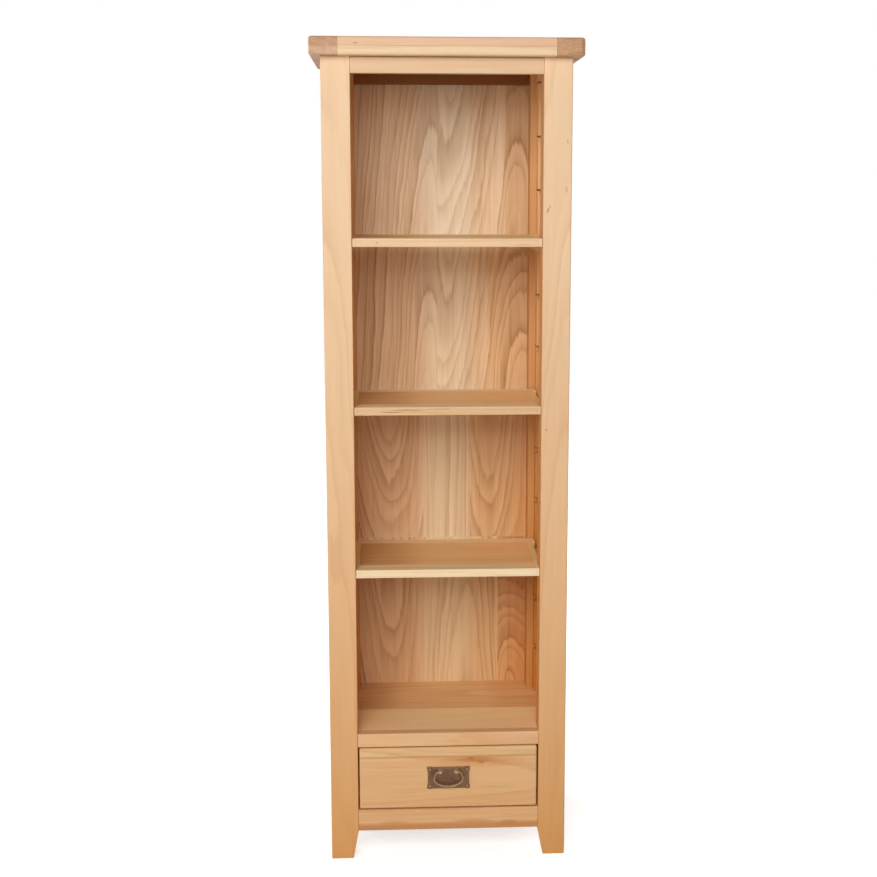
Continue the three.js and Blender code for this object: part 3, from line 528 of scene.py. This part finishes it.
class BOOKCASE_OT_rails(bpy.types.Operator):
    """Finish the rails of the frame, with their grain along each rail"""

    bl_idname = "bookcase.rails"
    bl_label = "Rails"

    def execute(self, context):
        look = context.scene.bookcase_finish
        for node, light, heart, patches in (
            # The front top rail's oak is darker than the frame's, as painted shade of the top's overhang
            ("front_top_rail", (223, 189, 153), (1.70, -0.10), TOP_RAIL_JOINT_AND_SHADE),
            ("floor_rail", (252, 220, 182), (0.262, -0.06), ()),
            ("bottom_rail", (247, 215, 178), (0.03, -0.12), BOTTOM_RAIL_PATCHES),
            # The rear top rail's dark brown is painted deep shade under the top
            ("rear_top_rail", (140, 84, 24), (1.70, 0.3), ()),
            # The rear bottom rail takes the shaded rear oak, painted shade inside the case
            ("rear_bottom_rail", look.shaded_rear_oak, (0.03, 0.3), ()),
        ):
            dark = [c * 0.86 for c in light] if node.startswith("rear") else look.dark
            finish(node, oak(f"oak_{node}", "x", light, dark, heart=heart, slope=(0.03, 0.02), rings=0.008,
                             figure=0.42, wander=0.02, streak=0.8, low_shade=0.75, patches=patches))
        for hand in HANDS:
            for node in (f"side_top_rail_{hand}", f"side_bottom_rail_{hand}"):
                finish(node, oak(f"oak_{node}", "y", look.light, look.dark, heart=(0.3, 0.4),
                                 slope=(0.02, 0.03), rings=0.008, figure=0.4, streak=0.8))
        return {"FINISHED"}


# A knot in the front edge of the top board
TOP_SPECKS = (Spot((-0.1889, 0, 1.786), (0.006, 0, 0.0022), (176, 130, 94), 0.7),)
# The paler lower half of the left end block
TOP_END_PALER = (Spot((0, 0, UNDER_TOP + 0.008), (0, 0, 0.013), (222, 184, 150), 0.8),)


class BOOKCASE_OT_top(bpy.types.Operator):
    """Finish the board, strips and end blocks of the top"""

    bl_idname = "bookcase.top"
    bl_label = "Top"

    def execute(self, context):
        look = context.scene.bookcase_finish
        finish("top_board", oak("oak_top_board", "x", (233, 194, 158), (210, 156, 114), heart=(1.70, 0.02),
                                slope=(0.01, 0.02), rings=0.009, figure=0.4, streak=1.0, specks=TOP_SPECKS))
        for node in ("top_front_strip", "top_rear_strip"):
            finish(node, oak(f"oak_{node}", "x", (239, 210, 171), look.dark, heart=(1.72, -0.1),
                             slope=(0.01, 0.01), rings=0.009, figure=0.3, streak=0.8))
        for hand, light, dark, patches in (("left", (203, 161, 128), (174, 126, 93), TOP_END_PALER),
                                           ("right", (204, 158, 118), (164, 112, 76), ())):
            finish(f"top_end_{hand}", oak(
                f"oak_top_end_{hand}", "y", light, dark, heart=(HANDS[hand] * 0.28, 1.69),
                slope=(0.02, 0.02), rings=0.005, figure=0.5, streak=1.4, patches=patches, roughness=0.6))
        return {"FINISHED"}


# The back's veneer leaves, a band for each compartment, from the lowest up. The last one
# is the panel's outer face.
BACK_BANDS = (
    Band("Z", 0.0, 0.47, (Leaf(BACK_LEFT, -0.12, -0.09, 0.07, -0.03, 0.011, (252, 240, 225)),
                          Leaf(-0.045, 0.06, 0.08, 0.045, 0.0, 0.011, (255, 246, 226)),
                          Leaf(0.133, 0.168, 0.34, 0.06, 0.0, 0.012, (251, 228, 200)))),
    Band("Z", SHELF_MIDDLES[0], 0.84, (Leaf(BACK_LEFT, -0.12, -0.17, 0.06, -0.08, 0.010, (252, 239, 224)),
                                       Leaf(-0.047, 0.20, 0.04, 0.05, -0.02, 0.012, (255, 248, 232)),
                                       Leaf(0.065, 0.11, -0.12, 0.05, 0.0, 0.011, (252, 237, 214)))),
    Band("Z", SHELF_MIDDLES[1], 1.20, (Leaf(BACK_LEFT, -0.027, 0.10, 0.030, 0.05, 0.011, (249, 240, 229)),
                                       Leaf(-0.012, 0.012, -0.13, 0.040, 0.05, 0.012, (253, 247, 236)),
                                       Leaf(0.112, 0.195, 0.17, 0.040, 0.02, 0.011, (251, 237, 216)))),
    Band("Z", SHELF_MIDDLES[2], 1.57, (Leaf(BACK_LEFT, -0.027, 0.10, 0.030, 0.06, 0.012, (249, 243, 238)),
                                       Leaf(-0.012, 0.012, -0.12, 0.042, 0.06, 0.013, (252, 249, 244)),
                                       Leaf(0.148, 0.172, 0.13, 0.030, 0.02, 0.011, (244, 230, 212)))),
    Band("Y", (BACK_FRONT + BACK_REAR) / 2, 0.9, (
        Leaf(BACK_LEFT, -0.12, 0.030, 0.06, 0.01, 0.011, (248, 238, 224)),
        Leaf(-0.03, 0.06, -0.034, 0.07, 0.0, 0.012, (252, 246, 236)),
        Leaf(0.13, 0.19, 0.028, 0.05, 0.0, 0.011, (247, 234, 218)))),
)
# The paler middle of the back, partly paler figure and partly a painted pool of light, and the browner wood
# low on its right
BACK_PAINTED_LIGHT_AND_TONE = (Spot((0.008, 0, 0), (0.082, 0, 0), (255, 244, 220), 0.8),
                Spot((0.210, 0, 0.50), (0.065, 0, 0.60), (228, 176, 110), 0.55))


class BOOKCASE_OT_panels(bpy.types.Operator):
    """Finish the back panel and the side panels in crown-cut oak"""

    bl_idname = "bookcase.panels"
    bl_label = "Panels"

    def execute(self, context):
        look = context.scene.bookcase_finish
        finish("back_panel", oak("oak_back_panel", "z", look.panel_light, look.panel_dark, figure=0.7,
                                 wander=0.04, swell=0.5, streak=0.9, low_shade=0.45, patches=BACK_PAINTED_LIGHT_AND_TONE,
                                 bands=BACK_BANDS, span=(BACK_LEFT, BACK_RIGHT)))
        for hand, side in HANDS.items():
            finish(f"side_panel_{hand}", oak(
                f"oak_side_panel_{hand}", "z", (247, 216, 177), (192, 148, 104), heart=(side * 0.31, 0.02),
                slope=(side * 0.03, 0.0), rings=0.0075, figure=0.45, wander=0.03, streak=0.6))
        return {"FINISHED"}


# The painted shadows under the notches' upper edges, as far out as the battens show them
NOTCH_SHADOWS = NotchShadows(first=0.4095, step=0.12, thickness=0.0038, inner=0.2325)


class BOOKCASE_OT_battens(bpy.types.Operator):
    """Finish the notched battens and the shelf rests"""

    bl_idname = "bookcase.battens"
    bl_label = "Battens and rests"

    def execute(self, context):
        look = context.scene.bookcase_finish
        for hand, side in HANDS.items():
            grain = {"heart": (side * 0.4, 0.1), "rings": 0.008, "figure": 0.35, "streak": 0.8}
            # The battens' oranger oak and their stronger darkening towards the ground are painted shade and
            # painted orange light reflected inside the case
            batten = oak(f"oak_battens_{hand}", "z", (255, 212, 156), (226, 170, 112), low_shade=2.0,
                         low_shade_tint=(205, 162, 69), notch_shadows=NOTCH_SHADOWS, **grain)
            for row in ("front", "rear"):
                finish(f"{row}_batten_{hand}", batten)
            rest = oak(f"oak_rests_{hand}", "y", look.light, look.dark, **grain)
            for n in SHELVES:
                finish(f"shelf_{n}_rest_{hand}", rest)
        return {"FINISHED"}


# For each shelf's front edge, from the lowest up: its colours, and its knots and dark streaks
SHELF_FRONTS = (
    ((255, 236, 198), (232, 186, 140), ()),
    ((234, 196, 152), (202, 152, 102), (
        Spot((-0.085, 0, 1.0215), (0.05, 0, 0.0016), (166, 114, 68), 0.7),
        Spot((-0.12, 0, 1.0170), (0.03, 0, 0.0012), (150, 98, 54), 0.7),
        Spot((-0.02, 0, 1.0235), (0.04, 0, 0.0012), (176, 122, 76), 0.6))),
    ((242, 208, 168), (218, 166, 120), (
        Spot((-0.1488, 0, 1.3789), (0.003, 0, 0.0012), (140, 92, 54), 0.8),
        Spot((0.16, 0, 1.3745), (0.02, 0, 0.0008), (176, 126, 80), 0.6))),
)
# Painted shade over the left end of the shelf panels, and the warmer end strips behind the front edge
SHELF_LEFT_SHADE = (Spot((-0.21, 0, 0), (0.17, 0, 0), (222, 177, 118), 0.8),)
SHELF_END_WARMER = (Spot((0, 0.06, 0), (0, 0.22, 0), (255, 226, 163), 1.0),)


class BOOKCASE_OT_shelves(bpy.types.Operator):
    """Finish the shelf panels and the strips on their edges"""

    bl_idname = "bookcase.shelves"
    bl_label = "Shelves"

    def execute(self, context):
        for n, low, high, (pale, line, specks) in zip(SHELVES, SHELF_UNDERSIDES, SHELF_TOPS, SHELF_FRONTS):
            # A painted highlight along the arris on top of the front edge
            painted_arris_highlight = (Spot((0, 0, high), (0, 0, 0.0015), (255, 232, 184), 0.9),)
            finish(f"shelf_{n}_panel", oak(
                f"oak_shelf_{n}_panel", "x", (254, 217, 159), (233, 178, 115), heart=(low + 0.09, 0.02),
                slope=(0.02, 0.03), rings=0.010, figure=0.45, streak=1.0, low_shade=0.5,
                patches=SHELF_LEFT_SHADE))
            finish(f"shelf_{n}_front_edge", oak(
                f"oak_shelf_{n}_front_edge", "x", pale, line, heart=(low - 0.02, -0.12),
                slope=(0.035, 0.03), rings=0.008, figure=0.45, streak=0.7, low_shade=0.3, specks=specks,
                patches=painted_arris_highlight))
            finish(f"shelf_{n}_rear_edge", oak(
                f"oak_shelf_{n}_rear_edge", "x", (255, 233, 190), (242, 202, 152), heart=(low, 0.3),
                rings=0.008, figure=0.3, low_shade=0.5))
            end = oak(f"oak_shelf_{n}_end_edges", "y", pale, line, heart=(0.5, low), rings=0.008,
                      figure=0.3, low_shade=0.4, patches=SHELF_END_WARMER)
            for hand in HANDS:
                finish(f"shelf_{n}_end_edge_{hand}", end)
        return {"FINISHED"}


# Painted shade over the left end of the rear plank, and its redder right end
REAR_PLANK_SHADE_AND_TONE = (Spot((-0.21, 0, 0), (0.12, 0, 0), (236, 198, 152), 0.7),
                      Spot((0.17, 0, 0), (0.08, 0, 0), (250, 212, 156), 0.8))


class BOOKCASE_OT_floor(bpy.types.Operator):
    """Finish the two floor planks"""

    bl_idname = "bookcase.floor"
    bl_label = "Floor planks"

    def execute(self, context):
        finish("floor_plank_front", oak(
            "oak_floor_plank_front", "x", (255, 227, 171), (255, 200, 141), heart=(0.24, -0.09),
            slope=(0.02, 0.03), rings=0.009, figure=0.45, streak=1.0, low_shade=0.0))
        finish("floor_plank_rear", oak(
            "oak_floor_plank_rear", "x", (255, 229, 184), (233, 191, 140), heart=(0.20, 0.09),
            slope=(0.02, 0.02), rings=0.009, figure=0.45, streak=1.0, low_shade=0.7,
            patches=REAR_PLANK_SHADE_AND_TONE))
        return {"FINISHED"}


# The drawer front: orange wood round its knots, and a paler strip above a glue line
DRAWER_PATCHES = (
    Spot((0.070, 0, 0.2250), (0.13, 0, 0.018), (234, 176, 118), 0.5),
    Spot((0.062, 0, 0.2290), (0.055, 0, 0.010), (218, 150, 90), 0.6),
    Spot((0, 0, 0.2485), (0, 0, 0.0115), (255, 230, 191), 0.9),
)
# Its glue line, two knots and fine dark streaks
DRAWER_SPECKS = (
    Spot((0, 0, 0.2368), (0, 0, 0.0024), (188, 132, 82), 0.6),
    Spot((0.0500, 0, 0.2320), (0.010, 0, 0.0036), (176, 112, 58), 0.75),
    Spot((0.0740, 0, 0.2225), (0.009, 0, 0.0045), (170, 112, 58), 0.6),
    Spot((0.022, 0, 0.2325), (0.035, 0, 0.0018), (196, 140, 84), 0.5),
    Spot((0.105, 0, 0.2250), (0.035, 0, 0.0020), (194, 134, 78), 0.4),
    Spot((-0.13, 0, 0.2130), (0.05, 0, 0.0013), (196, 144, 96), 0.5),
    Spot((-0.09, 0, 0.1530), (0.03, 0, 0.0012), (196, 146, 100), 0.5),
    Spot((0.10, 0, 0.1640), (0.05, 0, 0.0012), (198, 146, 98), 0.5),
)
# The plain oak inside the drawer
LINER_LIGHT = (232, 208, 172)
LINER_DARK = (206, 172, 130)


class BOOKCASE_OT_drawer(bpy.types.Operator):
    """Finish the drawer and its runners"""

    bl_idname = "bookcase.drawer"
    bl_label = "Drawer"

    def execute(self, context):
        finish("drawer_front", oak(
            "oak_drawer_front", "x", (245, 215, 178), (226, 178, 131), heart=(0.19, -0.08),
            slope=(0.02, 0.05), rings=0.010, figure=0.45, wander=0.03, streak=1.0, low_shade=0.8,
            patches=DRAWER_PATCHES, specks=DRAWER_SPECKS))
        sides = [f"{piece}_{hand}" for piece in ("drawer_side", "drawer_runner") for hand in HANDS]
        for name, grain, heart, nodes in (
            ("oak_drawer_boards", "y", (0.4, 0.5), sides),
            ("oak_drawer_cross_boards", "x", (0.1, 0.5), ("drawer_back", "drawer_bottom")),
        ):
            plain = oak(name, grain, LINER_LIGHT, LINER_DARK, heart=heart, rings=0.008, figure=0.4,
                        streak=0.8)
            for node in nodes:
                finish(node, plain)
        return {"FINISHED"}


# Distance of the rivets' middles from the plate's edges, and the half width of their rubbed heads with
# painted highlights
RIVET_INSET = 0.0065
RIVET_HEAD = 0.0024


class BOOKCASE_OT_handle(bpy.types.Operator):
    """Finish the handle in aged brass"""

    bl_idname = "bookcase.handle"
    bl_label = "Handle"

    def execute(self, context):
        look = context.scene.bookcase_finish
        (left, _, bottom), (right, _, top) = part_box("handle_plate")
        # Rubbed brass with a painted highlight on each rivet head
        rivets = [Spot((x, 0, z), (RIVET_HEAD, 0, RIVET_HEAD), look.plate_worn, 0.38)
                  for x in (left + RIVET_INSET, right - RIVET_INSET)
                  for z in (bottom + RIVET_INSET, top - RIVET_INSET)]
        finish("handle_plate", brass("brass_plate", look.plate, look.plate_worn, 0.12, rivets))
        bright = brass("brass_bail", [c * 1.05 for c in look.plate], look.plate_worn, 0.7)
        for node in ("handle_bail", "handle_pivot_left", "handle_pivot_right"):
            finish(node, bright)
        return {"FINISHED"}


# The lamps: the property that holds the power, the place, the point looked at, and the size
LAMPS = (
    ("key", (-0.95, -5.2, 3.6), (0, 0, 1.0), (3.4, 2.7)),
    ("front", (-0.6, -4.4, 1.9), (0, 0, 1.0), (1.3, 1.0)),
    ("rear", (-3.9, 3.2, 2.9), (0, 0, 1.0), (2.0, 2.4)),
    ("rear", (3.9, 3.2, 2.9), (0, 0, 1.0), (2.0, 2.4)),
    ("side", (-3.0, -2.6, 1.7), (0.2, 0, 1.0), (1.4, 1.8)),
)
# The width of the camera's sensor, in millimetres
SENSOR_WIDTH = 36.0
FLOOR_HALF_WIDTH = 8.0
FLOOR_GREY = 0.8
WHITE = (1.0, 1.0, 1.0, 1.0)
# What the floor adds for the camera, near the bookcase and away from it, and where these start
FLOOR_GLOW = (0.66, 1.0)
FLOOR_GLOW_PLACES = (0.3, 1.3)


def seen_directly(s):
    """1 for the rays of the camera and of shiny or clear surfaces, and 0 for all other light."""
    path = s.node("ShaderNodeLightPath").outputs
    shiny = s.calc("MAXIMUM", path["Is Glossy Ray"], path["Is Transmission Ray"])
    return s.calc("MAXIMUM", path["Is Camera Ray"], shiny)


class BOOKCASE_OT_stage(bpy.types.Operator):
    """Set up the floor, the light and the camera"""

    bl_idname = "bookcase.stage"
    bl_label = "Stage"

    def execute(self, context):
        stage = context.scene.bookcase_stage
        self.make_floor()
        self.make_surroundings(context.scene, stage.fill)
        for name, place, aim, size in LAMPS:
            self.make_lamp(name, place, aim, size, getattr(stage, name))
        self.make_camera(stage)
        return {"FINISHED"}

    @staticmethod
    def make_surroundings(scene, fill):
        """Light from all round, with plain white behind the bookcase."""
        s = Shader("studio", bpy.data.worlds.new("studio"))
        scene.world = s.owner
        glow = s.node("ShaderNodeBackground")
        glow.inputs["Color"].default_value = WHITE
        s.feed(glow.inputs["Strength"], s.spread(seen_directly(s), 0.0, 1.0, fill, 1.0))
        s.close(glow, "ShaderNodeOutputWorld")

    @staticmethod
    def make_floor():
        """A wide pale floor that keeps the bookcase's shadow and is otherwise white to the camera."""
        mesh = bpy.data.meshes.new("studio_floor")
        shape = bmesh.new()
        bmesh.ops.create_grid(shape, x_segments=1, y_segments=1, size=FLOOR_HALF_WIDTH)
        shape.to_mesh(mesh)
        shape.free()
        floor = bpy.data.objects.new("studio_floor", mesh)
        bpy.context.scene.collection.objects.link(floor)
        s = Shader("studio_floor")
        skin = s.node("ShaderNodeBsdfDiffuse")
        skin.inputs["Color"].default_value = (FLOOR_GREY, FLOOR_GREY, FLOOR_GREY, 1.0)
        lift = s.node("ShaderNodeEmission")
        lift.inputs["Color"].default_value = WHITE
        place = s.node("ShaderNodeTexCoord").outputs["Object"]
        away = s.node("ShaderNodeVectorMath", {0: place}, operation="LENGTH").outputs["Value"]
        glow = s.spread(away, *FLOOR_GLOW_PLACES, *FLOOR_GLOW)
        s.feed(lift.inputs["Strength"], s.calc("MULTIPLY", seen_directly(s), glow))
        both = s.node("ShaderNodeAddShader", {0: skin.outputs[0], 1: lift.outputs[0]})
        mesh.materials.append(s.close(both))

    @staticmethod
    def make_lamp(name, place, aim, size, power):
        """A rectangular lamp that looks at a point."""
        data = bpy.data.lights.new(name, "AREA")
        data.shape = "RECTANGLE"
        data.size, data.size_y = size
        data.energy = power
        lamp = bpy.data.objects.new(name, data)
        lamp.location = place
        lamp.rotation_euler = (Vector(aim) - Vector(place)).to_track_quat("-Z", "Y").to_euler()
        bpy.context.scene.collection.objects.link(lamp)

    @staticmethod
    def make_camera(stage):
        """The camera, turned from straight ahead by its turn and tilt and then rolled."""
        data = bpy.data.cameras.new("camera")
        data.lens, data.sensor_width, data.shift_x = stage.lens, SENSOR_WIDTH, stage.shift
        camera = bpy.data.objects.new("camera", data)
        level = math.cos(stage.pitch)
        ahead = Vector((math.sin(stage.yaw) * level, math.cos(stage.yaw) * level, -math.sin(stage.pitch)))
        aim = ahead.to_track_quat("-Z", "Y").to_matrix().to_4x4()
        camera.matrix_world = Matrix.Translation(stage.eye) @ aim @ Matrix.Rotation(stage.roll, 4, "Z")
        bpy.context.scene.collection.objects.link(camera)
        bpy.context.scene.camera = camera
        bpy.context.scene.view_settings.view_transform = "Standard"


STEPS = (BOOKCASE_OT_stage, BOOKCASE_OT_posts, BOOKCASE_OT_rails, BOOKCASE_OT_top, BOOKCASE_OT_panels,
         BOOKCASE_OT_battens, BOOKCASE_OT_shelves, BOOKCASE_OT_floor, BOOKCASE_OT_drawer, BOOKCASE_OT_handle)


class BOOKCASE_PT_sidebar(bpy.types.Panel):
    """The bookcase's finishes and steps"""

    bl_idname = "BOOKCASE_PT_sidebar"
    bl_label = "Bookcase"
    bl_space_type = "VIEW_3D"
    bl_region_type = "UI"
    bl_category = "Bookcase"

    def draw(self, context):
        for step in STEPS:
            self.layout.operator(step.bl_idname)
        for group in (context.scene.bookcase_finish, context.scene.bookcase_stage):
            box = self.layout.box()
            for key in group.__annotations__:
                box.prop(group, key)


CLASSES = (BookcaseFinish, BookcaseStage, *STEPS, BOOKCASE_PT_sidebar)


def register():
    for cls in CLASSES:
        bpy.utils.register_class(cls)
    bpy.types.Scene.bookcase_finish = bpy.props.PointerProperty(type=BookcaseFinish)
    bpy.types.Scene.bookcase_stage = bpy.props.PointerProperty(type=BookcaseStage)


def unregister():
    del bpy.types.Scene.bookcase_stage
    del bpy.types.Scene.bookcase_finish
    for cls in reversed(CLASSES):
        bpy.utils.unregister_class(cls)


def main():
    register()
    for step in STEPS:
        group, action = step.bl_idname.split(".")
        getattr(getattr(bpy.ops, group), action)()


if __name__ == "__main__":
    main()
